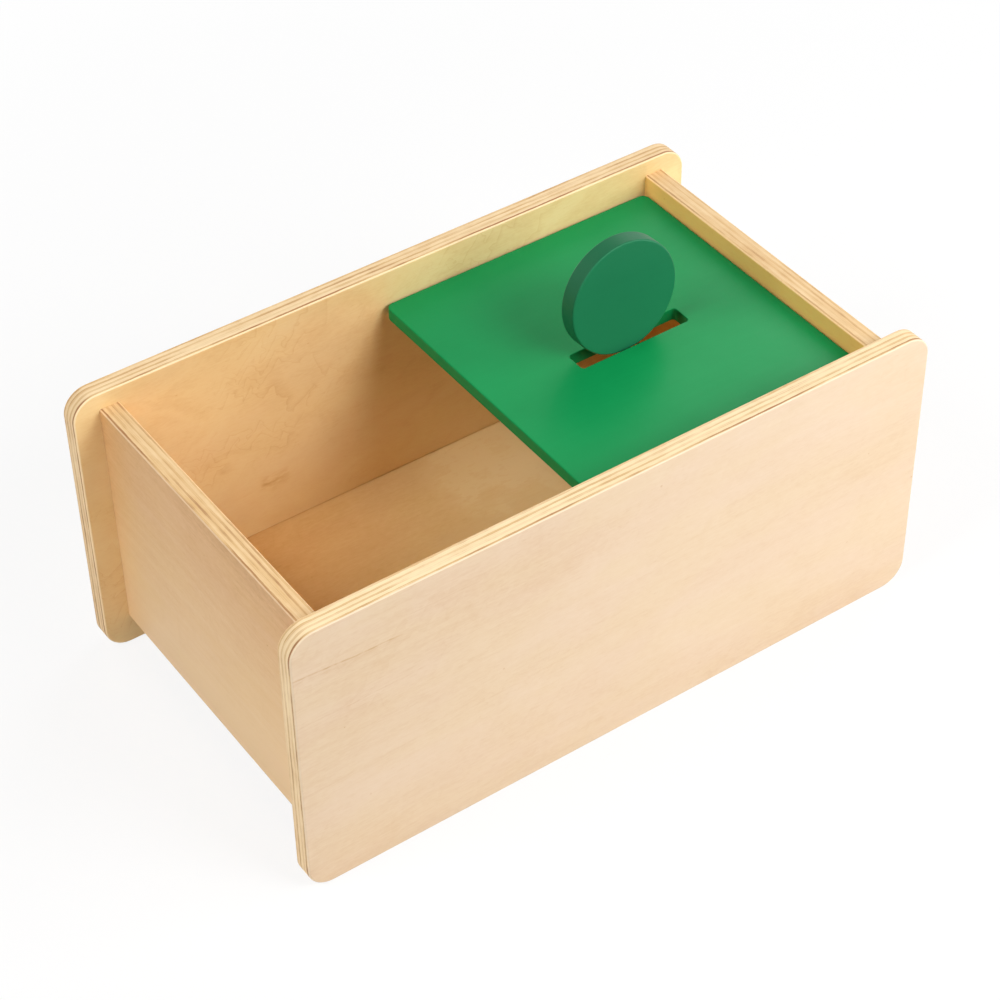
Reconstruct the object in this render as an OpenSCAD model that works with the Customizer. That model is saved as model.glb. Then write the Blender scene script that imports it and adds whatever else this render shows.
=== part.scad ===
// Flip-lid posting box: a plywood box with an open half, a slotted lid that turns over on two
// pins at mid-length, and a round chip that is posted through the slot. Millimetres, Z up,
// X along the box, origin under the middle of the box at ground level.

/* [Box] */
// Length of the side panels along X
box_len = 300; // [260:1:340]
// Width over the two side panels
box_w = 169; // [150:1:190]
// Height of the side panels
box_h = 134.5; // [125:0.5:150]
// Thickness of the box boards
board_t = 9; // [8:0.5:12]
// Corner radius of the side panels
corner_r = 11; // [6:0.5:14]
// Ease on the board edges
edge_ease = 0.8; // [0.4:0.1:1.2]
// Run of the side panels past the end panels
end_inset = 11.5; // [8:0.5:16]
// Drop of the end panels below the tops of the side panels
end_drop = 7.5; // [5:0.5:10]
// Height of the end panels above the ground
end_raise = 14; // [8:0.5:18]
// Depth planed off the bottom edges of the side panels so that they stand flat
foot_flat = 0.25; // [0.1:0.05:0.4]

/* [Floor] */
// Height of the floor above the bottoms of the end panels
floor_raise = 3.5; // [2.5:0.5:8]
// Depth of the floor grooves
groove_d = 3.5; // [2:0.5:4]
// Gap at the top and at the ends of the floor in its grooves
groove_gap = 0.1; // [0.05:0.05:0.3]

/* [Lid] */
// Thickness of the lid
lid_t = 6; // [5:0.5:8]
// Depth of the lid below the tops of the end panels
lid_drop = 8.5; // [6:0.5:12]
// Gap between the lid and the boards round it
lid_gap = 0.8; // [0.6:0.1:1.5]
// Run of the lid past its pivot axis
lid_tail = 6; // [5:0.5:9]
// Corner radius of the lid
lid_r = 3.5; // [2:0.5:6]
// Ease on the lid edges
lid_ease = 0.6; // [0.3:0.1:1]

/* [Pivot pins] */
// Pin diameter
pin_d = 3; // [2:0.5:3.5]
// Depth of a pin in the lid
pin_in_lid = 12; // [8:1:20]
// Radial play of a pin in its side panel
pin_play = 0.05; // [0.02:0.01:0.09]
// Radial glue gap of a pin in the lid
pin_glue = 0.02; // [0.01:0.01:0.05]

/* [Blind holes] */
// Wood left behind a blind hole in a side panel
blind_wall = 2.5; // [2:0.1:3]
// Free space past the end of a pin or a dowel
hole_end = 0.5; // [0.3:0.1:1]

/* [Lid rests] */
// Width of a rest strip
rest_w = 6; // [5:0.5:8]
// Height of a rest strip
rest_h = 8; // [6:0.5:12]
// Space left between a rest strip and each side panel
rest_end = 10; // [2:1:30]
// Gap between a rest strip and the lid lying over it
rest_gap = 0.2; // [0.1:0.05:0.5]

/* [Chip and slot] */
// Chip diameter
chip_d = 51.5; // [42:0.5:56]
// Chip thickness
chip_t = 8; // [6:0.5:10]
// Ease on the chip rims
chip_ease = 0.8; // [0.4:0.1:1.2]
// Lean of the chip away from the front panel, in degrees
chip_lean = 4; // [0:0.5:5]
// Depth of the chip in the slot
chip_dip = 2.8; // [1:0.1:10]
// Distance of the chip from the middle of the slot, towards the open half
chip_off = 4; // [0:0.5:5]
// Gap between the chip and the back edge of the slot
chip_back_gap = 0.35; // [0.2:0.05:0.5]
// Length of the slot over the chip diameter
slot_end_play = 2.5; // [2:0.5:6]
// Width of the slot over the chip thickness
slot_side_play = 2; // [1.5:0.5:4]
// Corner radius of the slot
slot_r = 1.5; // [1:0.5:3]
// Shift of the slot from the middle of the lid to its free end
slot_shift = 1.5; // [-6:0.5:6]
// Shift of the slot from the middle of the lid to the front panel
slot_front = 1.4; // [0:0.1:4]

/* [Dowels] */
// Dowel diameter
dowel_d = 5; // [4:0.5:6]
// Depth of a dowel in an end panel
dowel_in_end = 16; // [10:1:24]
// Radial glue gap round a dowel
dowel_glue = 0.05; // [0.02:0.01:0.1]
// Height of the lower dowels above the bottoms of the end panels
dowel_low = 32; // [28:1:50]
// Depth of the upper dowels below the tops of the end panels
dowel_high = 22; // [10:1:36]

/* [Hidden] */
$fn = 96;
// Overrun of a cut past the face that it opens
cut_over = 1;
// Half the clear width between the side panels
in_half_w = box_w / 2 - board_t;
// Outer and inner faces of the right end panel
end_out_x = box_len / 2 - end_inset;
end_in_x = end_out_x - board_t;
end_h = box_h - end_drop - end_raise;
floor_z = end_raise + floor_raise;
// Lid plane, and the lid's free end measured from the pivot axis at X = 0
lid_z = box_h - end_drop - lid_drop - lid_t;
lid_top_z = lid_z + lid_t;
pivot_z = lid_z + lid_t / 2;
lid_end_x = end_in_x - lid_gap;
lid_len = lid_end_x + lid_tail;
lid_mid_x = (lid_end_x - lid_tail) / 2;
lid_half_w = in_half_w - lid_gap;
// Depth of a pin or a dowel in a side panel
side_seat = board_t - blind_wall - hole_end;
rest_z = lid_z - rest_gap - rest_h;
slot_len = chip_d + slot_end_play;
slot_w = chip_t + slot_side_play;
slot_x = lid_mid_x + slot_shift;
slot_y = -slot_front;
// Width that the leaning chip takes up on its way through the lid
chip_run = chip_t / cos(chip_lean) + lid_t * tan(chip_lean);
chip_x = slot_x - chip_off;
// Height of the chip's centre over its lowest point
chip_low = chip_d / 2 * cos(chip_lean) + (chip_t / 2 - chip_ease) * sin(chip_lean);
chip_z = lid_top_z - chip_dip + chip_low;
chip_y = slot_y + (slot_w - chip_run) / 2 - chip_back_gap + (chip_z - pivot_z) * tan(chip_lean);
dowel_low_z = end_raise + dowel_low;
dowel_high_z = box_h - end_drop - dowel_high;
dowel_x = end_out_x - board_t / 2;

birch = [0.93, 0.8, 0.6];
beech = [0.8, 0.6, 0.4];
green = [0.1, 0.5, 0.25];
steel = [0.7, 0.7, 0.72];

// Section of a board w wide and h high, standing on the origin, with all four edges eased.
module eased_section(w, h, ease) {
    polygon([
        [-w / 2 + ease, 0],
        [w / 2 - ease, 0],
        [w / 2, ease],
        [w / 2, h - ease],
        [w / 2 - ease, h],
        [-w / 2 + ease, h],
        [-w / 2, h - ease],
        [-w / 2, ease]
    ]);
}

// Flat board with round corners and eased edges, centred on Z and lying on the XY plane.
module board(len, w, t, r, ease) {
    translate([-len / 2 + r, 0, 0])
        rotate([90, 0, 90])
            linear_extrude(len - 2 * r)
                eased_section(w, t, ease);
    translate([0, w / 2 - r, 0])
        rotate([90, 0, 0])
            linear_extrude(w - 2 * r)
                eased_section(len, t, ease);
    for (x = [-1, 1], y = [-1, 1])
        translate([x * (len / 2 - r), y * (w / 2 - r), 0])
            rotate_extrude()
                polygon([[0, 0], [r - ease, 0], [r, ease], [r, t - ease], [r - ease, t], [0, t]]);
}

// Round bar along +Y from the given point.
module bar_y(x, y, z, d, len) {
    translate([x, y, z])
        rotate([-90, 0, 0])
            cylinder(d = d, h = len);
}

// Side panel with its inner face towards -Y, as it stands at the back of the box.
module side_panel() {
    depth = side_seat + hole_end + cut_over;
    difference() {
        translate([0, in_half_w + board_t, (box_h - foot_flat) / 2])
            rotate([90, 0, 0])
                board(box_len, box_h + foot_flat, board_t, corner_r, edge_ease);
        // Bottom edge planed off at ground level
        translate([-box_len / 2 - cut_over, in_half_w - cut_over, -foot_flat - cut_over])
            cube([box_len + 2 * cut_over, board_t + 2 * cut_over, foot_flat + cut_over]);
        // Groove for the floor, stopped short of both ends
        translate([-end_in_x - groove_d, in_half_w - cut_over, floor_z])
            cube([2 * (end_in_x + groove_d), groove_d + cut_over, board_t + groove_gap]);
        // Pivot hole, open to the inside only
        bar_y(0, in_half_w - cut_over, pivot_z, pin_d + 2 * pin_play, depth);
        // Dowel holes for both end panels
        for (x = [-dowel_x, dowel_x], z = [dowel_low_z, dowel_high_z])
            bar_y(x, in_half_w - cut_over, z, dowel_d + 2 * dowel_glue, depth);
    }
}

// End panel at the right of the box.
module end_panel() {
    depth = dowel_in_end + hole_end;
    difference() {
        translate([dowel_x, in_half_w, end_raise])
            rotate([90, 0, 0])
                linear_extrude(2 * in_half_w)
                    eased_section(board_t, end_h, edge_ease);
        // Groove for the floor, right across the inner face
        translate([end_in_x - cut_over, -in_half_w - cut_over, floor_z])
            cube([groove_d + cut_over, 2 * (in_half_w + cut_over), board_t + groove_gap]);
        // Dowel holes in both ends
        for (z = [dowel_low_z, dowel_high_z]) {
            bar_y(dowel_x, -in_half_w - cut_over, z, dowel_d + 2 * dowel_glue, depth + cut_over);
            bar_y(dowel_x, in_half_w - depth, z, dowel_d + 2 * dowel_glue, depth + cut_over);
        }
    }
}

// Rest strip on the inner face of the right end panel.
module lid_rest() {
    translate([end_in_x - rest_w / 2, in_half_w - rest_end, rest_z])
        rotate([90, 0, 0])
            linear_extrude(2 * (in_half_w - rest_end))
                eased_section(rest_w, rest_h, edge_ease);
}

// Dowel in the back joint of the right end panel.
module dowel(z) {
    bar_y(dowel_x, in_half_w - dowel_in_end, z, dowel_d, dowel_in_end + side_seat);
}

// Pivot pin at the back of the lid.
module pivot_pin() {
    bar_y(0, lid_half_w - pin_in_lid, pivot_z, pin_d, pin_in_lid + lid_gap + side_seat);
}

// Slot through the lid, with round corners.
module slot_cut() {
    depth = lid_t + 2 * cut_over;
    translate([slot_x, slot_y, lid_z - cut_over]) {
        translate([-slot_len / 2 + slot_r, -slot_w / 2, 0])
            cube([slot_len - 2 * slot_r, slot_w, depth]);
        translate([-slot_len / 2, -slot_w / 2 + slot_r, 0])
            cube([slot_len, slot_w - 2 * slot_r, depth]);
        for (x = [-1, 1], y = [-1, 1])
            translate([x * (slot_len / 2 - slot_r), y * (slot_w / 2 - slot_r), 0])
                cylinder(r = slot_r, h = depth);
    }
}

module front_panel() {
    color(birch)
        mirror([0, 1, 0])
            side_panel();
}

module back_panel() {
    color(birch)
        side_panel();
}

module left_end_panel() {
    color(birch)
        mirror([1, 0, 0])
            end_panel();
}

module right_end_panel() {
    color(birch)
        end_panel();
}

module floor_panel() {
    reach = groove_d - groove_gap;
    color(birch)
        translate([-end_in_x - reach, -in_half_w - reach, floor_z])
            cube([2 * (end_in_x + reach), 2 * (in_half_w + reach), board_t]);
}

module left_lid_rest() {
    color(beech)
        mirror([1, 0, 0])
            lid_rest();
}

module right_lid_rest() {
    color(beech)
        lid_rest();
}

module left_front_lower_dowel() {
    color(beech)
        mirror([1, 0, 0])
            mirror([0, 1, 0])
                dowel(dowel_low_z);
}

module left_front_upper_dowel() {
    color(beech)
        mirror([1, 0, 0])
            mirror([0, 1, 0])
                dowel(dowel_high_z);
}

module left_back_lower_dowel() {
    color(beech)
        mirror([1, 0, 0])
            dowel(dowel_low_z);
}

module left_back_upper_dowel() {
    color(beech)
        mirror([1, 0, 0])
            dowel(dowel_high_z);
}

module right_front_lower_dowel() {
    color(beech)
        mirror([0, 1, 0])
            dowel(dowel_low_z);
}

module right_front_upper_dowel() {
    color(beech)
        mirror([0, 1, 0])
            dowel(dowel_high_z);
}

module right_back_lower_dowel() {
    color(beech)
        dowel(dowel_low_z);
}

module right_back_upper_dowel() {
    color(beech)
        dowel(dowel_high_z);
}

module lid() {
    depth = pin_in_lid + hole_end;
    color(green)
        difference() {
            translate([lid_mid_x, 0, lid_z])
                board(lid_len, 2 * lid_half_w, lid_t, lid_r, lid_ease);
            slot_cut();
            bar_y(0, -lid_half_w - cut_over, pivot_z, pin_d + 2 * pin_glue, depth + cut_over);
            bar_y(0, lid_half_w - depth, pivot_z, pin_d + 2 * pin_glue, depth + cut_over);
        }
}

module front_pivot_pin() {
    color(steel)
        mirror([0, 1, 0])
            pivot_pin();
}

module back_pivot_pin() {
    color(steel)
        pivot_pin();
}

module chip() {
    r = chip_d / 2;
    color(green)
        translate([chip_x, chip_y, chip_z])
            rotate([90 - chip_lean, 0, 0])
                translate([0, 0, -chip_t / 2])
                    rotate_extrude()
                        polygon([
                            [0, 0],
                            [r - chip_ease, 0],
                            [r, chip_ease],
                            [r, chip_t - chip_ease],
                            [r - chip_ease, chip_t],
                            [0, chip_t]
                        ]);
}

front_panel();
back_panel();
left_end_panel();
right_end_panel();
floor_panel();
left_lid_rest();
right_lid_rest();
left_front_lower_dowel();
left_front_upper_dowel();
left_back_lower_dowel();
left_back_upper_dowel();
right_front_lower_dowel();
right_front_upper_dowel();
right_back_lower_dowel();
right_back_upper_dowel();
lid();
front_pivot_pin();
back_pivot_pin();
chip();
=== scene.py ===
"""Looks of a flip-lid posting box: plywood boards with ply edges, a painted lid and chip,
the joinery inside the boards, a plain floor, soft studio light and the camera."""
import math
from collections import namedtuple

import bmesh
import bpy
from mathutils import Matrix, Vector


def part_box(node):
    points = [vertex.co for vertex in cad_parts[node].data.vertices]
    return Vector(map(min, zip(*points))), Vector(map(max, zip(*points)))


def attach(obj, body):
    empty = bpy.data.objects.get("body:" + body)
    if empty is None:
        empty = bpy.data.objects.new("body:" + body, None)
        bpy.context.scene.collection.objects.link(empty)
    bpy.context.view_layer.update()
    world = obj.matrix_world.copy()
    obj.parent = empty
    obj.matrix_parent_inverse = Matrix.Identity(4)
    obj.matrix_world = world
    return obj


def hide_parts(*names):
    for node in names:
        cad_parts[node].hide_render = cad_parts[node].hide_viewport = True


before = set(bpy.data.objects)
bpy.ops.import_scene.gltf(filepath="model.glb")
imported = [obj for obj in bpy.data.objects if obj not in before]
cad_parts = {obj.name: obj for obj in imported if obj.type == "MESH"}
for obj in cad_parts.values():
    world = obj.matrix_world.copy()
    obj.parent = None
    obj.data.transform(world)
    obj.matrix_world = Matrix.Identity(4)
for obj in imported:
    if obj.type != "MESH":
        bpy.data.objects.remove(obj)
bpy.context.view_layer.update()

X, Y, Z = 0, 1, 2
MM = 0.001
# Signs of a square's corners, counter-clockwise
SQUARE = [(-1, -1), (1, -1), (1, 1), (-1, 1)]

# Sizes of the boards, the lid and the chip that the frame's boxes don't give, in metres
CORNER_R = 11 * MM
EDGE_EASE = 0.8 * MM
FOOT_FLAT = 0.25 * MM
FLOOR_R = 1 * MM
FLOOR_EASE = 0.3 * MM
LEAST_R = 0.05 * MM
GROOVE_GAP = 0.1 * MM
GROOVE_LIP = 0.35 * MM
LID_R = 3.5 * MM
LID_EASE = 0.6 * MM
SLOT_LEN = 54 * MM
SLOT_W = 10 * MM
SLOT_R = 1.5 * MM
SLOT_SHIFT = 1.5 * MM
SLOT_FRONT = 1.4 * MM
SLOT_EASE = 0.4 * MM
PIN_PLAY = 0.05 * MM
PIN_GLUE = 0.02 * MM
DOWEL_GLUE = 0.05 * MM
HOLE_END = 0.5 * MM
CHIP_EASE = 0.8 * MM
CHIP_LEAN = math.radians(4)
CUT_OVER = 1 * MM

# Fineness of the meshes
CORNER_STEPS = 16
EASE_STEPS = 5
ROUND_STEPS = 40
CHIP_STEPS = 144
SHARP_ANGLE = math.radians(35)


# Shader nodes

# A noise: waves per metre along its three axes, detail, roughness and distortion
Grain = namedtuple("Grain", "waves detail rough distortion", defaults=(2.0, 0.5, 0.0))


def srgb(red, green, blue):
    """Linear colour of an 8-bit display colour."""
    def linear(value):
        share = value / 255
        return share / 12.92 if share <= 0.04045 else ((share + 0.055) / 1.055) ** 2.4
    return (linear(red), linear(green), linear(blue), 1.0)


def tones(stops):
    """Ramp stops of (place, display colour) pairs."""
    return [(place, srgb(*colour)) for place, colour in stops]


def feed(tree, socket, value):
    """Links a socket to another one, or sets its own value."""
    if isinstance(value, bpy.types.NodeSocket):
        tree.links.new(value, socket)
    else:
        socket.default_value = value


def add_node(tree, kind, inputs=None, **settings):
    """Adds a node with its settings, and with inputs given by name or number."""
    node = tree.nodes.new(kind)
    for key, value in settings.items():
        setattr(node, key, value)
    for key, value in (inputs or {}).items():
        feed(tree, node.inputs[key], value)
    return node


class Shader:
    """A material's node tree, with short calls for the nodes that the finishes use."""

    def __init__(self, name):
        self.material = bpy.data.materials.new(name)
        self.material.use_nodes = True
        self.tree = self.material.node_tree
        self.surface = self.tree.nodes["Principled BSDF"]
        coordinates = self.add("ShaderNodeTexCoord")
        self.place = self.split(coordinates.outputs["Object"])
        self.normal = [self.math("ABSOLUTE", part) for part in self.split(coordinates.outputs["Normal"])]

    def add(self, kind, inputs=None, **settings):
        return add_node(self.tree, kind, inputs, **settings)

    def split(self, vector):
        """The three parts of a vector."""
        return list(self.add("ShaderNodeSeparateXYZ", {0: vector}).outputs)

    def math(self, operation, first, second=0.0, third=0.0):
        inputs = {0: first, 1: second, 2: third}
        return self.add("ShaderNodeMath", inputs, operation=operation).outputs[0]

    def total(self, *terms):
        """Sum of (socket, weight) terms."""
        result = 0.0
        for socket, weight in terms:
            result = self.math("MULTIPLY_ADD", socket, weight, result)
        return result

    def weigh(self, parts, weights):
        """Sum of named parts, each times its own weight."""
        return self.total(*((parts[name], weight) for name, weight in weights.items()))

    def noise(self, parts, grain):
        """Noise over three sockets or numbers."""
        scaled = {}
        for index, (part, waves) in enumerate(zip(parts, grain.waves)):
            fixed = isinstance(part, float)
            scaled[index] = part * waves if fixed else self.math("MULTIPLY", part, waves)
        inputs = {
            "Vector": self.add("ShaderNodeCombineXYZ", scaled).outputs[0],
            "Scale": 1.0,
            "Detail": grain.detail,
            "Roughness": grain.rough,
            "Distortion": grain.distortion,
        }
        return self.add("ShaderNodeTexNoise", inputs).outputs[0]

    def noises(self, parts, grains):
        """Named noises over the same three sockets or numbers."""
        return {name: self.noise(parts, grain) for name, grain in grains.items()}

    def fit(self, value, low, high, to_low=0.0, to_high=1.0):
        """Value moved smoothly from one range to another and held at its ends."""
        inputs = dict(enumerate((value, low, high, to_low, to_high)))
        return self.add("ShaderNodeMapRange", inputs, interpolation_type="SMOOTHSTEP").outputs[0]

    def ramp(self, value, stops, interpolation="LINEAR"):
        """Colour ramp of (place, colour) stops."""
        node = self.add("ShaderNodeValToRGB", {0: value})
        node.color_ramp.interpolation = interpolation
        elements = node.color_ramp.elements
        while len(elements) < len(stops):
            elements.new(1.0)
        for element, (place, colour) in zip(elements, stops):
            element.position = place
            element.color = colour
        return node.outputs[0]

    def mix(self, share, first, second):
        inputs = {"Factor": share, 6: first, 7: second}
        return self.add("ShaderNodeMix", inputs, data_type="RGBA").outputs[2]

    def bump(self, height, depth, strength):
        inputs = {"Height": height, "Distance": depth, "Strength": strength}
        self.set(Normal=self.add("ShaderNodeBump", inputs).outputs[0])

    def set(self, **inputs):
        """Sets or links inputs of the surface shader; an underscore stands for a space."""
        for key, value in inputs.items():
            feed(self.tree, self.surface.inputs[key.replace("_", " ")], value)


# Veneers

# One side of a board: display colour, strength of figure, change of tone per metre along and
# over the grain, which is painted shade following how light falls across the face, and placed marks,
# which include a patch of painted light
Face = namedtuple("Face", "colour figure drift marks", defaults=(0.3, (0.0, 0.0), ()))
# A streak on a face: its (along, over) ends and half width in metres, and how much darker it is
Mark = namedtuple("Mark", "start end width depth")

# Display colours of the veneers: the outer front, the back's inner face, the ends, the floor, and
# the other faces inside and outside; the faces inside the box are deeper and warmer than the outer front,
# partly painted shade of the inside
FRONT_FACE = (226, 200, 169)
BACK_FACE = (249, 215, 157)
LEFT_FACE = (226, 187, 136)
RIGHT_FACE = (254, 198, 115)
FLOOR_FACE = (249, 208, 146)
INNER_FACE = (246, 194, 120)
PLAIN_FACE = (240, 203, 152)

# From a veneer's palest grain to its darkest: place on the ramp, and shares of its colour
WOOD_RAMP = [
    (0.0, (1.03, 1.055, 1.1)),
    (0.4, (1.0, 1.0, 1.0)),
    (0.75, (0.95, 0.905, 0.85)),
    (1.0, (0.86, 0.78, 0.67)),
]
# Shares of its colour where a veneer is yellower and where it is pinker
HUE_TINTS = [(1.0, 1.001, 0.991), (1.0, 0.998, 1.005)]

# Noises of a veneer along the grain, over it and from face to face
VENEER = {
    "tone": Grain((5, 14, 1)),
    "clouds": Grain((38, 62, 1), 3.0, 0.55, 0.9),
    "streaks": Grain((9, 330, 1), 3.0, 0.6),
    "flecks": Grain((300, 900, 1), 2.0, 0.6),
    "fibres": Grain((120, 2400, 1)),
    "pores": Grain((260, 1500, 1), 1.0),
    "specks": Grain((420, 420, 3), 0.0),
    "hue": Grain((20, 42, 2.3)),
}
# The stretch of a noise that goes from none to all
VENEER_RANGES = {"pores": (0.68, 0.8), "specks": (0.87, 0.92), "hue": (0.36, 0.64)}
# Weights in the tone: on a plain face, and what a full figure adds
VENEER_SHADE = {
    "tone": (0.5, 0.0),
    "clouds": (0.2, 0.6),
    "streaks": (0.25, -0.25),
    "flecks": (0.3, 0.0),
    "fibres": (0.2, 0.0),
    "lines": (0.05, 0.22),
    "pores": (0.12, 0.0),
    "specks": (0.35, 0.0),
}
# What is taken off the tone: on a plain face, and what a full figure adds
VENEER_LEVEL = (0.33, 0.18)
VENEER_HEIGHT = {"fibres": 0.5, "flecks": 0.3, "streaks": 0.5, "pores": -0.5, "lines": -0.1}

# Feathery lines: what bends them, the slow field that they are contours of, and their patches
FLAME_SWAY = Grain((26, 40, 1), 3.0, 0.6)
FLAME_FIELD = Grain((7, 18, 1), 1.0, 0.4)
FLAME_PATCHES = Grain((14, 20, 1.7))
FLAME_RANGE = (0.4, 0.62)
FLAME_TOOTH = 6 * MM
FLAME_STEEP = 1.3
FLAME_ALONG = 40 * MM
FLAME_OVER = 30 * MM
FLAME_COUNT = 14.0
FLAME_SHARP = 7.0

# Streaks: how they wave, in half widths, how uneven they are, and the share of their length that fades
MARK_WAVE = Grain((60, 60, 1))
MARK_SWAY = 3
MARK_UNEVEN = Grain((220, 500, 1))
MARK_RANGE = (0.3, 0.6, 0.25, 1.0)
MARK_FADE = 0.3
# Places of the two noises apart from each other
WAVE_LAYER, UNEVEN_LAYER = 0.0, 3.0


def tinted(colour, shares):
    """Display colour with its three parts scaled."""
    return [min(255, part * share) for part, share in zip(colour, shares)]


def wood_tones(colour):
    """Ramp stops from a veneer's palest grain to its darkest."""
    return tones((place, tinted(colour, shares)) for place, shares in WOOD_RAMP)


def streak_mark(shader, along, over, mark):
    """A thin uneven streak of darker grain, from 0 to 1; broad and with a negative depth, it is a pale
    patch of painted light.
    """
    (a0, o0), (a1, o1) = mark.start, mark.end
    slope = (o1 - o0) / (a1 - a0)
    middle = shader.math("MULTIPLY_ADD", along, slope, o0 - slope * a0)
    wave = shader.math("SUBTRACT", shader.noise((along, over, WAVE_LAYER), MARK_WAVE), 0.5)
    middle = shader.math("MULTIPLY_ADD", wave, MARK_SWAY * mark.width, middle)
    off = shader.math("ABSOLUTE", shader.math("SUBTRACT", over, middle))
    across = shader.fit(off, 0.0, mark.width, 1.0, 0.0)
    fade = MARK_FADE * (a1 - a0)
    begins = shader.fit(along, a0 - fade, a0, 0.0, 1.0)
    ends = shader.fit(along, a1 - fade, a1, 1.0, 0.0)
    uneven = shader.fit(shader.noise((along, over, UNEVEN_LAYER), MARK_UNEVEN), *MARK_RANGE)
    length = shader.math("MULTIPLY", begins, ends)
    return shader.math("MULTIPLY", shader.math("MULTIPLY", across, uneven), length)


def flame_lines(shader, along, over, layer):
    """Feathery lines of rotary-cut birch: contours of a slow field, folded into zigzags, in patches."""
    sway = shader.noise((along, over, layer), FLAME_SWAY)
    swayed = shader.math("MULTIPLY_ADD", sway, FLAME_ALONG, along)
    teeth = shader.math("PINGPONG", swayed, FLAME_TOOTH)
    bent = shader.math("ADD", shader.total((teeth, FLAME_STEEP), (sway, FLAME_OVER)), over)
    field = shader.noise((along, bent, layer), FLAME_FIELD)
    steps = shader.math("FRACT", shader.math("MULTIPLY", field, FLAME_COUNT))
    where = shader.fit(shader.noise((along, over, layer), FLAME_PATCHES), *FLAME_RANGE)
    return shader.math("MULTIPLY", shader.math("POWER", steps, FLAME_SHARP), where)


def veneer(shader, along, over, layer, middle, face):
    """Colour, height and streaks of a rotary-cut birch face; layer sets one face apart from another,
    and middle is the (along, over) point where its tone is as written."""
    parts = shader.noises((along, over, layer), VENEER)
    for name, stretch in VENEER_RANGES.items():
        parts[name] = shader.fit(parts[name], *stretch)
    parts["lines"] = flame_lines(shader, along, over, layer)
    weights = {name: plain + more * face.figure for name, (plain, more) in VENEER_SHADE.items()}
    plain_level, more_level = VENEER_LEVEL
    level = plain_level + more_level * face.figure
    shade = shader.math("SUBTRACT", shader.weigh(parts, weights), level)
    # Painted shade: the tone grows darker or lighter across the face, as the light falls on it
    for part, centre, slope in zip((along, over), middle, face.drift):
        shade = shader.math("MULTIPLY_ADD", shader.math("SUBTRACT", part, centre), slope, shade)
    # Marks: darker streaks of grain and a knot, and on the floor a pale patch of painted light
    for mark in face.marks:
        shade = shader.math("MULTIPLY_ADD", streak_mark(shader, along, over, mark), mark.depth, shade)
    yellow, pink = [shader.ramp(shade, wood_tones(tinted(face.colour, tint))) for tint in HUE_TINTS]
    colour = shader.mix(parts["hue"], yellow, pink)
    return colour, shader.weigh(parts, VENEER_HEIGHT), parts["streaks"]


# Plywood

# A ply: its thickness, and how dark its end grain is; 0 where its grain runs along the edge
Ply = namedtuple("Ply", "thickness dark")
# The cut edges of a board: how far they are darkened, partly painted shade on the edges of boards that get
# less light, and how strong the ply lines are
Edge = namedtuple("Edge", "brown lines", defaults=(0.0, 1.0))

# Plies of a 9 mm board, from one face to the other
PLIES = [
    Ply(0.60 * MM, 0.0),
    Ply(0.80 * MM, 1.0),
    Ply(1.50 * MM, 0.0),
    Ply(0.85 * MM, 0.6),
    Ply(1.50 * MM, 0.0),
    Ply(0.85 * MM, 0.65),
    Ply(1.50 * MM, 0.0),
    Ply(0.80 * MM, 0.6),
    Ply(0.60 * MM, 0.0),
]
GLUE_HALF = 0.1 * MM

# Display colours on the cut edges: long grain, end grain, glue, and the sanded rims, paler also as a
# painted highlight on the eased edges
EDGE_LONG = (247, 221, 178)
EDGE_END = (217, 178, 124)
EDGE_GLUE = (168, 119, 77)
SANDED_RIM_HIGHLIGHT = (255, 236, 204)
EDGE_RAMP = [(0.0, EDGE_LONG), (0.65, EDGE_END), (1.0, EDGE_GLUE)]

# Noises of a cut edge along the board, over it and through its thickness
EDGE_NOISES = {
    "drift": Grain((22, 22, 30)),
    "fray": Grain((170, 170, 900), 2.0, 0.6),
    "fading": Grain((24, 24, 420)),
    "fibres": Grain((35, 35, 1100), 3.0, 0.65),
    "mottle": Grain((130, 130, 260), 3.0, 0.6),
}
# How far the ply lines wander, in metres
EDGE_WANDER = {"drift": 0.9 * MM, "fray": 0.5 * MM}
EDGE_FADING = (0.32, 0.66, 0.2, 1.3)
EDGE_SHADE = {"plies": 0.65, "fibres": 0.75, "mottle": 0.4}
EDGE_LEVEL = 0.5
# Where an edge is cut across the board's grain, its long plies show end grain too
CROSSCUT = (0.2, 0.9, 0.0, 0.15)
# The glue shows in patches: the stretch of the mottle, and how much shows at its two ends
GLUE_RANGE = (0.35, 0.7)
GLUE_SEEN = (0.15, 0.8)

# Blur between a face ply and the edge, the turns of the surface between which a rim is pale, as sanded
# wood and a painted highlight, and how pale
FACE_BLUR = 0.12 * MM
RIM_BEGINS = (0.2, 0.5)
RIM_ENDS = (0.85, 0.97)
RIM_SHARE = 0.42
# Lacquer: roughness, what the streaks and the cut edges add to it, and gloss
WOOD_ROUGH = 0.36
STREAK_ROUGH = 0.18
CUT_ROUGH = 0.12
WOOD_GLOSS = 0.3
WOOD_BUMP = (0.06 * MM, 0.35)
# Distance in the noises between the two faces of a board
FACE_STEP = 3.7


def ply_stops():
    """Ramp stops over the board's thickness: how dark the crosswise plies are, and where the glue is."""
    thickness = sum(ply.thickness for ply in PLIES)
    white, black = (1, 1, 1, 1), (0, 0, 0, 1)
    kinds, glue, depth = [], [(0.0, black)], 0.0
    for ply in PLIES:
        kinds.append((depth / thickness, (ply.dark, ply.dark, ply.dark, 1)))
        if depth:
            for offset, colour in ((-GLUE_HALF, black), (0.0, white), (GLUE_HALF, black)):
                glue.append(((depth + offset) / thickness, colour))
        depth += ply.thickness
    return kinds, glue


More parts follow.
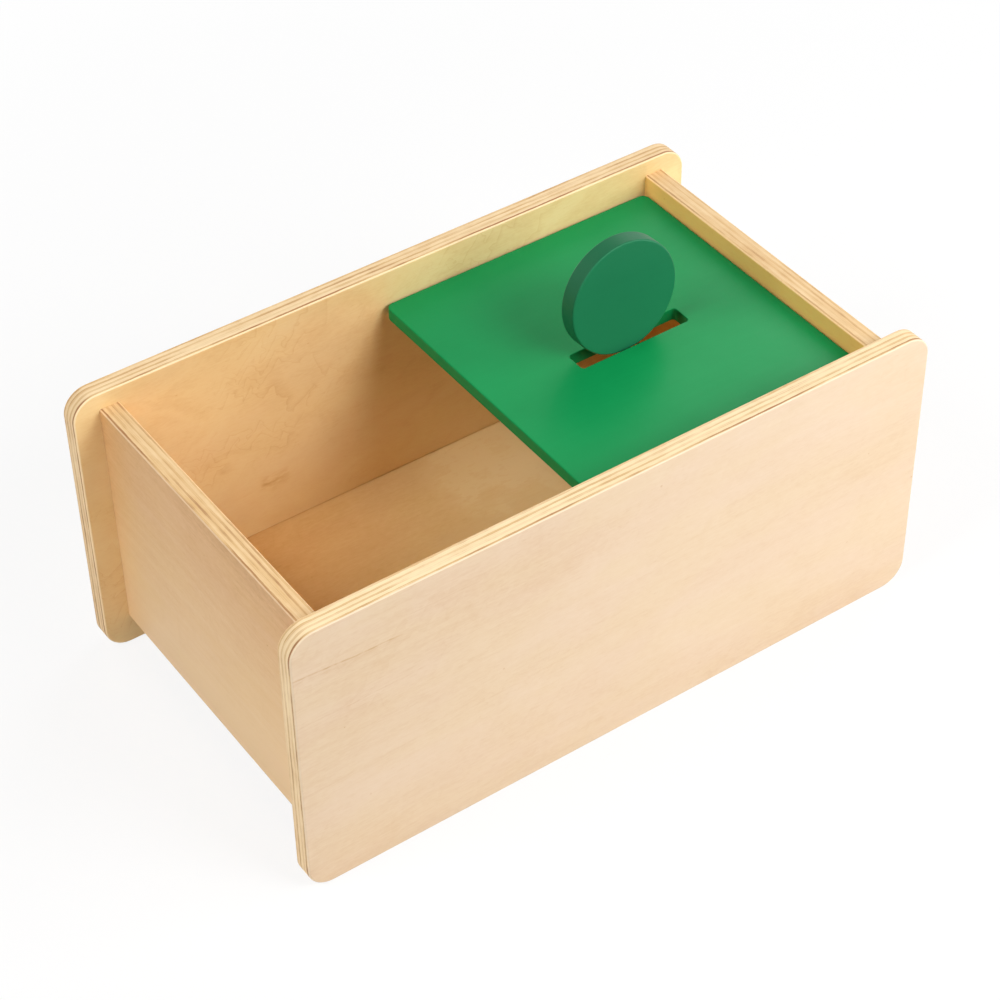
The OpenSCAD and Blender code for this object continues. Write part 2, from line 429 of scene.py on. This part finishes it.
def ply_edge(shader, along, over, depth, board_t, grain, edge):
    """Colour and height of the cut edges, where each ply shows long grain or end grain, between
    lines that wander, fray and fade."""
    parts = shader.noises((along, over, depth), EDGE_NOISES)
    mean_wander = sum(EDGE_WANDER.values()) / 2
    wander = shader.math("SUBTRACT", shader.weigh(parts, EDGE_WANDER), mean_wander)
    share = shader.math("DIVIDE", shader.math("ADD", wander, depth), board_t)
    kinds, glue = ply_stops()
    crosscut = shader.fit(shader.normal[grain], *CROSSCUT)
    end_grain = shader.math("ADD", shader.ramp(share, kinds, "CONSTANT"), crosscut)
    parts["plies"] = shader.math("MULTIPLY", end_grain, shader.fit(parts["fading"], *EDGE_FADING))
    weights = {**EDGE_SHADE, "plies": EDGE_SHADE["plies"] * edge.lines}
    # Darkening by brown: partly painted shade on the edges of the less lit boards
    shade = shader.math("SUBTRACT", shader.weigh(parts, weights), EDGE_LEVEL - edge.brown)
    colour = shader.ramp(shade, tones(EDGE_RAMP))
    patchy = shader.fit(parts["mottle"], *GLUE_RANGE, *(seen * edge.lines for seen in GLUE_SEEN))
    glue_share = shader.math("MULTIPLY", shader.ramp(share, glue), patchy)
    return shader.mix(glue_share, colour, srgb(*EDGE_GLUE)), parts["fibres"]


def birch_ply(name, node, axes, seed, faces, edge):
    """Birch plywood as a solid: two veneered faces, plies on the edges that change with the way an
    edge is cut, and pale rims of sanded wood with a painted highlight. Axes are thickness, grain and
    cross."""
    shader = Shader(name)
    thick, grain, cross = axes
    low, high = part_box(node)
    board_t = high[thick] - low[thick]
    along, over = shader.place[grain], shader.place[cross]
    depth = shader.math("SUBTRACT", shader.place[thick], low[thick])
    middle = [(low[axis] + high[axis]) / 2 for axis in (grain, cross)]
    sides = []
    for side, face in enumerate(faces):
        sides.append(veneer(shader, along, over, seed + FACE_STEP * side, middle, face))
    (low_colour, low_height, streaks), (high_colour, high_height, _) = sides
    upper = shader.math("GREATER_THAN", depth, board_t / 2)
    face_colour = shader.mix(upper, low_colour, high_colour)
    face_height = shader.mix(upper, low_height, high_height)
    cut_colour, fibres = ply_edge(shader, along, over, depth, board_t, grain, edge)
    inner = shader.math("ABSOLUTE", shader.math("SUBTRACT", depth, board_t / 2))
    core = board_t / 2 - PLIES[0].thickness
    is_edge = shader.fit(inner, core, core + FACE_BLUR, 1.0, 0.0)
    colour = shader.mix(is_edge, face_colour, cut_colour)
    # Pale rims: sanded wood, and a painted highlight where the eased edges catch the light
    turned = shader.normal[thick]
    begins = shader.fit(turned, *RIM_BEGINS)
    rim = shader.math("MULTIPLY", begins, shader.fit(turned, *RIM_ENDS, RIM_SHARE, 0.0))
    rough = shader.total((streaks, STREAK_ROUGH), (is_edge, CUT_ROUGH))
    shader.set(
        Base_Color=shader.mix(rim, colour, srgb(*SANDED_RIM_HIGHLIGHT)),
        Roughness=shader.math("ADD", rough, WOOD_ROUGH),
        Specular_IOR_Level=WOOD_GLOSS,
    )
    shader.bump(shader.mix(is_edge, face_height, fibres), *WOOD_BUMP)
    return shader.material


# Beech, paint and steel

BEECH = {"rays": Grain((1400, 240, 1400), 1.0), "grain": Grain((260, 9, 260), 3.0, 0.6)}
BEECH_RAYS = (0.62, 0.74)
BEECH_RAMP = [(0.2, (226, 184, 138)), (0.6, (205, 158, 112)), (1.0, (165, 116, 76))]
BEECH_SHADE = {"grain": 0.9, "rays": 0.35}
BEECH_HEIGHT = {"grain": 0.7, "rays": -0.5}
BEECH_ROUGH = (0.2, 0.8, 0.5, 0.65)
BEECH_IOR = 1.45
BEECH_BUMP = (0.05 * MM, 0.3)

# Display colours of the paint: its two tones, and the rims, darker partly as painted shade on the side
# faces
LID_PAINT = [(12, 146, 79), (9, 134, 71), (10, 130, 68)]
CHIP_PAINT = [(34, 127, 85), (30, 117, 78), (26, 101, 65)]
PAINT = {
    "cloud": Grain((22, 22, 22), 3.0, 0.6),
    "dust": Grain((1300, 1300, 1300), 1.0),
    "peel": Grain((520, 520, 520)),
    "grain": Grain((14, 420, 420), 3.0),
}
PAINT_RANGE = (0.3, 0.95)
PAINT_SHADE = {"cloud": 0.8, "dust": 0.25, "grain": 0.2}
PAINT_HEIGHT = {"peel": 0.7, "grain": 0.6, "dust": 0.15}
PAINT_UNEVEN = {"cloud": 0.14, "peel": 0.08, "rim": 0.05}
PAINT_ROUGH = 0.3
PAINT_GLOSS = 0.15
PAINT_RIM = (0.3, 0.95, 1.0, 0.0)
PAINT_BUMP = (0.05 * MM, 0.22)

STEEL = {"drawn": Grain((2600, 40, 2600)), "cloud": Grain((300, 300, 300))}
STEEL_RAMP = [(0.3, (226, 226, 230)), (0.7, (196, 196, 202))]
STEEL_SHADE = {"drawn": 0.6, "cloud": 0.4}
STEEL_POLISH = {"drawn": 0.5, "cloud": 0.5}
STEEL_ROUGH = (0.3, 0.7, 0.22, 0.4)
STEEL_BUMP = (0.02 * MM, 0.25)


def beech(name):
    """Plain beech for the rests and the dowels: short dark rays in a fine straight grain along Y."""
    shader = Shader(name)
    parts = shader.noises(shader.place, BEECH)
    parts["rays"] = shader.fit(parts["rays"], *BEECH_RAYS)
    shader.set(
        Base_Color=shader.ramp(shader.weigh(parts, BEECH_SHADE), tones(BEECH_RAMP)),
        Roughness=shader.fit(parts["grain"], *BEECH_ROUGH),
        IOR=BEECH_IOR,
    )
    shader.bump(shader.weigh(parts, BEECH_HEIGHT), *BEECH_BUMP)
    return shader.material


def paint(name, thick, colours):
    """Satin paint on a wooden board, with a faint peel, wood grain under it and darker rims, partly
    painted shade on the side faces.
    """
    shader = Shader(name)
    parts = shader.noises(shader.place, PAINT)
    parts["rim"] = shader.fit(shader.normal[thick], *PAINT_RIM)
    *faces, rims = colours
    flat = shader.ramp(shader.weigh(parts, PAINT_SHADE), tones(zip(PAINT_RANGE, faces)))
    shader.set(
        # Darker rims: partly painted shade on the side faces
        Base_Color=shader.mix(parts["rim"], flat, srgb(*rims)),
        Roughness=shader.math("ADD", shader.weigh(parts, PAINT_UNEVEN), PAINT_ROUGH),
        Specular_IOR_Level=PAINT_GLOSS,
    )
    shader.bump(shader.weigh(parts, PAINT_HEIGHT), *PAINT_BUMP)
    return shader.material


def steel(name):
    """Drawn steel wire: streaks along the pin and a slightly uneven polish."""
    shader = Shader(name)
    parts = shader.noises(shader.place, STEEL)
    shader.set(
        Base_Color=shader.ramp(shader.weigh(parts, STEEL_SHADE), tones(STEEL_RAMP)),
        Metallic=1.0,
        Roughness=shader.fit(shader.weigh(parts, STEEL_POLISH), *STEEL_ROUGH),
    )
    shader.bump(parts["drawn"], *STEEL_BUMP)
    return shader.material


# Meshes

def full_turn(steps):
    """Angles of a whole turn."""
    return [2 * math.pi * step / steps for step in range(steps)]


def rounded_outline(half_u, half_v, radius, steps=CORNER_STEPS):
    """Points of a rounded rectangle round the origin, counter-clockwise."""
    points = []
    for corner in range(4):
        turn = corner * math.pi / 2
        centre_u = (half_u - radius) * (1 if corner in (0, 3) else -1)
        centre_v = (half_v - radius) * (1 if corner in (0, 1) else -1)
        for step in range(steps + 1):
            angle = turn + step / steps * math.pi / 2
            points.append((centre_u + radius * math.cos(angle), centre_v + radius * math.sin(angle)))
    return points


def quarter_round(radius):
    """(inset, height) pairs of a quarter round, from a face to the side."""
    turns = [step / EASE_STEPS * math.pi / 2 for step in range(EASE_STEPS + 1)]
    return [(radius * (1 - math.sin(turn)), radius * (1 - math.cos(turn))) for turn in turns]


def eased_profile(thickness, ease):
    """(inset, height) pairs across a board whose two rims are quarter rounds."""
    rim = quarter_round(ease)
    return rim + [(inset, thickness - height) for inset, height in reversed(rim)]


def loft(rings):
    """Closed mesh through rings of points, capped at both ends."""
    mesh = bmesh.new()
    loops = [[mesh.verts.new(point) for point in ring] for ring in rings]
    count = len(loops[0])
    for first, second in zip(loops, loops[1:]):
        for index in range(count):
            after = (index + 1) % count
            mesh.faces.new((first[index], first[after], second[after], second[index]))
    mesh.faces.new(reversed(loops[0]))
    mesh.faces.new(loops[-1])
    bmesh.ops.recalc_face_normals(mesh, faces=mesh.faces)
    return mesh


def eased_board(low, high, thick, radius, ease, floor_level=None):
    """Rings of a board between two corners, with round corners and eased rims, cut flat at the floor
    level if there is one."""
    u_axis, v_axis = [axis for axis in (X, Y, Z) if axis != thick]
    middle = (low + high) / 2
    half = (high - low) / 2
    rings = []
    for inset, height in eased_profile(2 * half[thick], ease):
        corner_r = max(radius - inset, LEAST_R)
        ring = []
        for u, v in rounded_outline(half[u_axis] - inset, half[v_axis] - inset, corner_r):
            point = middle.copy()
            point[u_axis] += u
            point[v_axis] += v
            point[thick] = low[thick] + height
            if floor_level is not None:
                point.z = max(point.z, floor_level)
            ring.append(point)
        rings.append(ring)
    return rings


def eased_bar(low, high, ease):
    """Rings of a bar along Y whose four long edges are rounded."""
    middle = (low + high) / 2
    half = (high - low) / 2
    outline = rounded_outline(half.x, half.z, ease, EASE_STEPS)
    return [[Vector((middle.x + u, y, middle.z + v)) for u, v in outline] for y in (low.y, high.y)]


def round_bar(x, z, radius, y_low, y_high):
    """Rings of a round bar along Y."""
    outline = [(x + radius * math.cos(a), z + radius * math.sin(a)) for a in full_turn(ROUND_STEPS)]
    return [[Vector((u, y, v)) for u, v in outline] for y in (y_low, y_high)]


def block(low, high):
    """Rings of a plain block, used only for cutting."""
    corners = [(low.x, low.y), (high.x, low.y), (high.x, high.y), (low.x, high.y)]
    return [[Vector((x, y, z)) for x, y in corners] for z in (low.z, high.z)]


def to_object(name, mesh):
    """Object of a mesh, which is used up."""
    data = bpy.data.meshes.new(name)
    mesh.to_mesh(data)
    mesh.free()
    made = bpy.data.objects.new(name, data)
    bpy.context.scene.collection.objects.link(made)
    return made


def carve(piece, cutters):
    """Cuts each set of rings out of a piece."""
    for rings in cutters:
        tool = to_object("cutter", loft(rings))
        cut = piece.modifiers.new("cut", "BOOLEAN")
        cut.operation = "DIFFERENCE"
        cut.solver = "EXACT"
        cut.object = tool
        bpy.context.view_layer.update()
        evaluated = piece.evaluated_get(bpy.context.evaluated_depsgraph_get())
        carved = bpy.data.meshes.new_from_object(evaluated)
        piece.modifiers.clear()
        old = piece.data
        piece.data = carved
        bpy.data.meshes.remove(old)
        bpy.data.objects.remove(tool)


def dress(piece, material, body, slot, *nodes):
    """Gives a new piece its shading, finish and body, and hides the nodes that it stands for; slot is not
    used.
    """
    piece.data.materials.clear()
    piece.data.materials.append(material)
    piece.data.shade_smooth()
    piece.data.set_sharp_from_angle(angle=SHARP_ANGLE)
    normals = piece.modifiers.new("normals", "WEIGHTED_NORMAL")
    normals.keep_sharp = True
    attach(piece, body)
    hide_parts(*nodes)
    return piece


# Holes and grooves, from the boxes of what they hold

DOWELS = [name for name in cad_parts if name.endswith("_dowel")]
PINS = ["front_pivot_pin", "back_pivot_pin"]


def hole_for(node, gap):
    """Rings of a round hole along Y for a pin or a dowel."""
    low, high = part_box(node)
    radius = (high.x - low.x) / 2 + gap
    middle = (low + high) / 2
    return round_bar(middle.x, middle.z, radius, low.y - HOLE_END, high.y + HOLE_END)


def floor_groove():
    """Rings of the groove round the floor, and of the eased lip over it."""
    low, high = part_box("floor_panel")
    grow = Vector((GROOVE_GAP, GROOVE_GAP, 0))
    groove = block(low - grow, high + grow + Vector((0, 0, GROOVE_GAP)))
    half_x = -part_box("left_end_panel")[1].x
    half_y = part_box("back_panel")[0].y
    top = high.z + GROOVE_GAP
    levels = [(GROOVE_LIP, top - GROOVE_LIP), (GROOVE_LIP, top), (-GROOVE_LIP, top + 2 * GROOVE_LIP)]
    lip = []
    for outset, z in levels:
        lip.append([Vector((u * (half_x + outset), v * (half_y + outset), z)) for u, v in SQUARE])
    return [groove, lip]


def slot_cutter(low, high):
    """Rings of the posting slot, flared at both faces so that its rims come out rounded."""
    middle_x = (low.x + high.x) / 2 + SLOT_SHIFT
    flare = quarter_round(SLOT_EASE)
    levels = [(SLOT_EASE, low.z - CUT_OVER)]
    levels += [(outset, low.z + height) for outset, height in flare]
    levels += [(outset, high.z - height) for outset, height in reversed(flare)]
    levels += [(SLOT_EASE, high.z + CUT_OVER)]
    rings = []
    for outset, z in levels:
        outline = rounded_outline(SLOT_LEN / 2 + outset, SLOT_W / 2 + outset, SLOT_R + outset)
        rings.append([Vector((middle_x + u, v - SLOT_FRONT, z)) for u, v in outline])
    return rings


# Pieces

# Streaks seen on the front face
FRONT_MARKS = [
    Mark((-0.150, 0.1147), (-0.096, 0.1114), 0.7 * MM, 0.44),
    Mark((-0.150, 0.1128), (-0.098, 0.1100), 1.6 * MM, 0.14),
    Mark((-0.110, 0.1207), (-0.060, 0.1197), 0.5 * MM, 0.15),
    Mark((-0.143, 0.0899), (-0.090, 0.0902), 0.6 * MM, 0.16),
    Mark((-0.145, 0.0532), (-0.010, 0.0572), 0.8 * MM, 0.10),
]
# A small knot scar with a faint trail on the inner face of the back panel
BACK_MARKS = [
    Mark((-0.069, 0.0502), (-0.055, 0.0524), 5.5 * MM, 0.36),
    Mark((-0.080, 0.0503), (-0.060, 0.0516), 1.2 * MM, 0.18),
]
# A broad pale patch of painted light on the floor, towards the lid, where light reaches under it
FLOOR_PAINTED_LIGHT = [
    Mark((0.018, 0.0570), (0.090, 0.0600), 32 * MM, -0.7),
]


def side_panel(node, pin, seed, faces, edge):
    """Front or back panel: round corners, eased rims, groove, pivot hole and dowel holes."""
    low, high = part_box(node)
    low = low - Vector((0, 0, FOOT_FLAT))
    piece = to_object(node + "_ply", loft(eased_board(low, high, Y, CORNER_R, EDGE_EASE, 0.0)))
    side = node.split("_")[0]
    holes = [hole_for(name, DOWEL_GLUE) for name in DOWELS if side in name]
    carve(piece, floor_groove() + holes + [hole_for(pin, PIN_PLAY)])
    finish = birch_ply(node + "_birch", node, (Y, X, Z), seed, faces, edge)
    return dress(piece, finish, "box", "birch_ply", node)


def end_panel(node, seed, faces, edge):
    """End panel: eased long edges, groove and dowel holes."""
    low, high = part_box(node)
    piece = to_object(node + "_ply", loft(eased_bar(low, high, EDGE_EASE)))
    side = node.split("_")[0]
    holes = [hole_for(name, DOWEL_GLUE) for name in DOWELS if name.startswith(side)]
    carve(piece, floor_groove() + holes)
    finish = birch_ply(node + "_birch", node, (X, Y, Z), seed, faces, edge)
    return dress(piece, finish, "box", "birch_ply", node)


def floor_panel(seed, faces, edge):
    """Floor: a flat board with slightly rounded corners and rims."""
    low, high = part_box("floor_panel")
    piece = to_object("floor_ply", loft(eased_board(low, high, Z, FLOOR_R, FLOOR_EASE)))
    finish = birch_ply("floor_birch", "floor_panel", (Z, X, Y), seed, faces, edge)
    return dress(piece, finish, "box", "birch_ply", "floor_panel")


def lid():
    """Painted lid: round corners, eased rims, the slot and the pins' holes."""
    low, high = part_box("lid")
    piece = to_object("lid_board", loft(eased_board(low, high, Z, LID_R, LID_EASE)))
    carve(piece, [slot_cutter(low, high)] + [hole_for(pin, PIN_GLUE) for pin in PINS])
    return dress(piece, paint("lid_paint", Z, LID_PAINT), "lid", "green_paint", "lid")


def chip():
    """Round chip: a disc with rounded rims, turned about its own leaning axis."""
    low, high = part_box("chip")
    centre = (low + high) / 2
    radius = (high.x - low.x) / 2
    leaned = 2 * (radius - CHIP_EASE) * math.sin(CHIP_LEAN)
    thickness = (high.y - low.y - leaned) / math.cos(CHIP_LEAN)
    lean = Matrix.Translation(centre) @ Matrix.Rotation(math.pi / 2 - CHIP_LEAN, 4, "X")
    rings = []
    for inset, height in eased_profile(thickness, CHIP_EASE):
        reach = radius - inset
        level = height - thickness / 2
        ring = []
        for turn in full_turn(CHIP_STEPS):
            ring.append(lean @ Vector((reach * math.cos(turn), reach * math.sin(turn), level)))
        rings.append(ring)
    piece = to_object("chip_disc", loft(rings))
    return dress(piece, paint("chip_paint", Y, CHIP_PAINT), "chip", "green_paint", "chip")


def lid_rest(node, finish):
    """Strip on an end panel that the lid lies on."""
    low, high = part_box(node)
    piece = to_object(node + "_strip", loft(eased_bar(low, high, EDGE_EASE)))
    return dress(piece, finish, "box", "plain_wood", node)


def give_finish(node, material):
    """Puts a finish on a node of the frame."""
    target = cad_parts[node]
    target.data.materials.clear()
    target.data.materials.append(material)


def build_object():
    """All the pieces, and the finish of the pins and dowels."""
    plain = Face(PLAIN_FACE)
    inner = Face(INNER_FACE)
    # The drifts are painted shade: the front darker towards its left and bottom, the back darker towards
    # the right, the left end darker towards its top and the floor darker towards the left
    front = Face(FRONT_FACE, figure=0.1, drift=(-0.4, -1.0), marks=FRONT_MARKS)
    back = Face(BACK_FACE, figure=0.8, drift=(0.6, 0.0), marks=BACK_MARKS)
    left = Face(LEFT_FACE, figure=0.1, drift=(0.0, 9.0))
    right = Face(RIGHT_FACE, figure=0.2)
    floor = Face(FLOOR_FACE, figure=0.12, drift=(-3.4, 0.0), marks=FLOOR_PAINTED_LIGHT)
    side_panel("front_panel", "front_pivot_pin", seed=1.3, faces=(front, inner), edge=Edge())
    side_panel("back_panel", "back_pivot_pin", seed=5.1, faces=(back, plain), edge=Edge(brown=0.15))
    end_panel("left_end_panel", seed=11.9, faces=(left, inner), edge=Edge(brown=0.38, lines=0.65))
    end_panel("right_end_panel", seed=17.2, faces=(right, plain), edge=Edge(brown=0.35, lines=0.5))
    floor_panel(seed=23.4, faces=(plain, floor), edge=Edge(brown=0.1))
    lid()
    chip()
    plain_wood = beech("beech")
    for node in ("left_lid_rest", "right_lid_rest"):
        lid_rest(node, plain_wood)
    for node in DOWELS:
        give_finish(node, plain_wood)
    wire = steel("steel")
    for node in PINS:
        give_finish(node, wire)


# Stage, light and camera

# The floor: half its side and its drop in metres, its own grey, the share of white that the camera
# sees under the object, and the distances between which that goes up to full white
FLOOR_HALF = 0.75
FLOOR_DROP = 0.1 * MM
FLOOR_ALBEDO = 0.92
FLOOR_WHITE = 0.82
FLOOR_FADE = (0.32, 0.7)
SKY_LEVEL = 0.04
# Softboxes: degrees round from the front towards the right, degrees up, level
LAMPS = {
    "front": (22, 38, 0.65),
    "low_right": (60, 18, 0.44),
    "left": (270, 45, 0.62),
    "back_right": (120, 34, 0.27),
    "low_back": (188, 12, 0.26),
}
LAMP_FAR = 1.2
LAMP_SIZE = 0.6
AIM = Vector((0.0, 0.0, 0.08))
CAMERA_PLACE = Vector((-0.46422, -0.67766, 0.80391))
CAMERA_HEADING = math.radians(34.3494)
CAMERA_DIP = math.radians(42.0975)
CAMERA_ROLL = math.radians(-0.9405)
CAMERA_LENS = 96.845
SENSOR = 36.0


def seen_share(tree):
    """1 for what the camera sees, straight or in a reflection or through glass, and 0 for other light."""
    path = add_node(tree, "ShaderNodeLightPath")
    share = path.outputs["Is Camera Ray"]
    for name in ("Is Glossy Ray", "Is Transmission Ray"):
        inputs = {0: share, 1: path.outputs[name]}
        share = add_node(tree, "ShaderNodeMath", inputs, operation="MAXIMUM").outputs[0]
    return share


def floor_finish():
    """Pale matte that shows near white to the camera, keeps the object's shadow and fades out round it."""
    material = bpy.data.materials.new("studio_floor")
    material.use_nodes = True
    tree = material.node_tree
    tree.nodes.clear()
    grey = (FLOOR_ALBEDO, FLOOR_ALBEDO, FLOOR_ALBEDO, 1)
    matte = add_node(tree, "ShaderNodeBsdfDiffuse", {"Color": grey})
    glow = add_node(tree, "ShaderNodeEmission", {"Strength": 1.0})
    place = add_node(tree, "ShaderNodeTexCoord")
    reach = add_node(tree, "ShaderNodeVectorMath", {0: place.outputs["Object"]}, operation="LENGTH")
    ranges = dict(enumerate((reach.outputs["Value"], *FLOOR_FADE, FLOOR_WHITE, 1.0)))
    fade = add_node(tree, "ShaderNodeMapRange", ranges, interpolation_type="SMOOTHSTEP")
    white = {0: seen_share(tree), 1: fade.outputs[0]}
    share = add_node(tree, "ShaderNodeMath", white, operation="MULTIPLY")
    layers = {0: share.outputs[0], 1: matte.outputs[0], 2: glow.outputs[0]}
    blend = add_node(tree, "ShaderNodeMixShader", layers)
    add_node(tree, "ShaderNodeOutputMaterial", {"Surface": blend.outputs[0]})
    return material


def studio_floor():
    """Plain square floor just under the object."""
    mesh = bmesh.new()
    mesh.faces.new([mesh.verts.new((x * FLOOR_HALF, y * FLOOR_HALF, -FLOOR_DROP)) for x, y in SQUARE])
    floor = to_object("studio_floor", mesh)
    floor.data.materials.append(floor_finish())


def sky():
    """Even studio light, with plain white behind everything."""
    world = bpy.data.worlds.new("studio")
    world.use_nodes = True
    tree = world.node_tree
    background = tree.nodes["Background"]
    level = add_node(tree, "ShaderNodeMapRange", {"Value": seen_share(tree), "To Min": SKY_LEVEL})
    feed(tree, background.inputs["Color"], (1, 1, 1, 1))
    feed(tree, background.inputs["Strength"], level.outputs[0])
    bpy.context.scene.world = world


def soft_light(name, around, up, level):
    """Square softbox that looks at the object."""
    toward = Vector((math.sin(around) * math.cos(up), -math.cos(around) * math.cos(up), math.sin(up)))
    place = AIM + toward * LAMP_FAR
    data = bpy.data.lights.new(name, "AREA")
    data.shape = "SQUARE"
    data.size = LAMP_SIZE
    data.energy = level * (LAMP_FAR * math.pi) ** 2
    lamp = bpy.data.objects.new(name, data)
    lamp.location = place
    lamp.rotation_mode = "QUATERNION"
    lamp.rotation_quaternion = (AIM - place).to_track_quat("-Z", "Y")
    bpy.context.scene.collection.objects.link(lamp)


def view_camera():
    """Camera at the photograph's viewing angle."""
    data = bpy.data.cameras.new("camera")
    data.sensor_width = SENSOR
    data.lens = CAMERA_LENS
    camera = bpy.data.objects.new("camera", data)
    turn = Matrix.Rotation(-CAMERA_HEADING, 4, "Z")
    tilt = Matrix.Rotation(math.pi / 2 - CAMERA_DIP, 4, "X")
    roll = Matrix.Rotation(CAMERA_ROLL, 4, "Z")
    camera.matrix_world = Matrix.Translation(CAMERA_PLACE) @ turn @ tilt @ roll
    bpy.context.scene.collection.objects.link(camera)
    bpy.context.scene.camera = camera


def studio():
    """Floor, sky, lamps and camera."""
    bpy.context.scene.view_settings.view_transform = "Standard"
    studio_floor()
    sky()
    for name, (around, up, level) in LAMPS.items():
        soft_light(name, math.radians(around), math.radians(up), level)
    view_camera()


build_object()
studio()
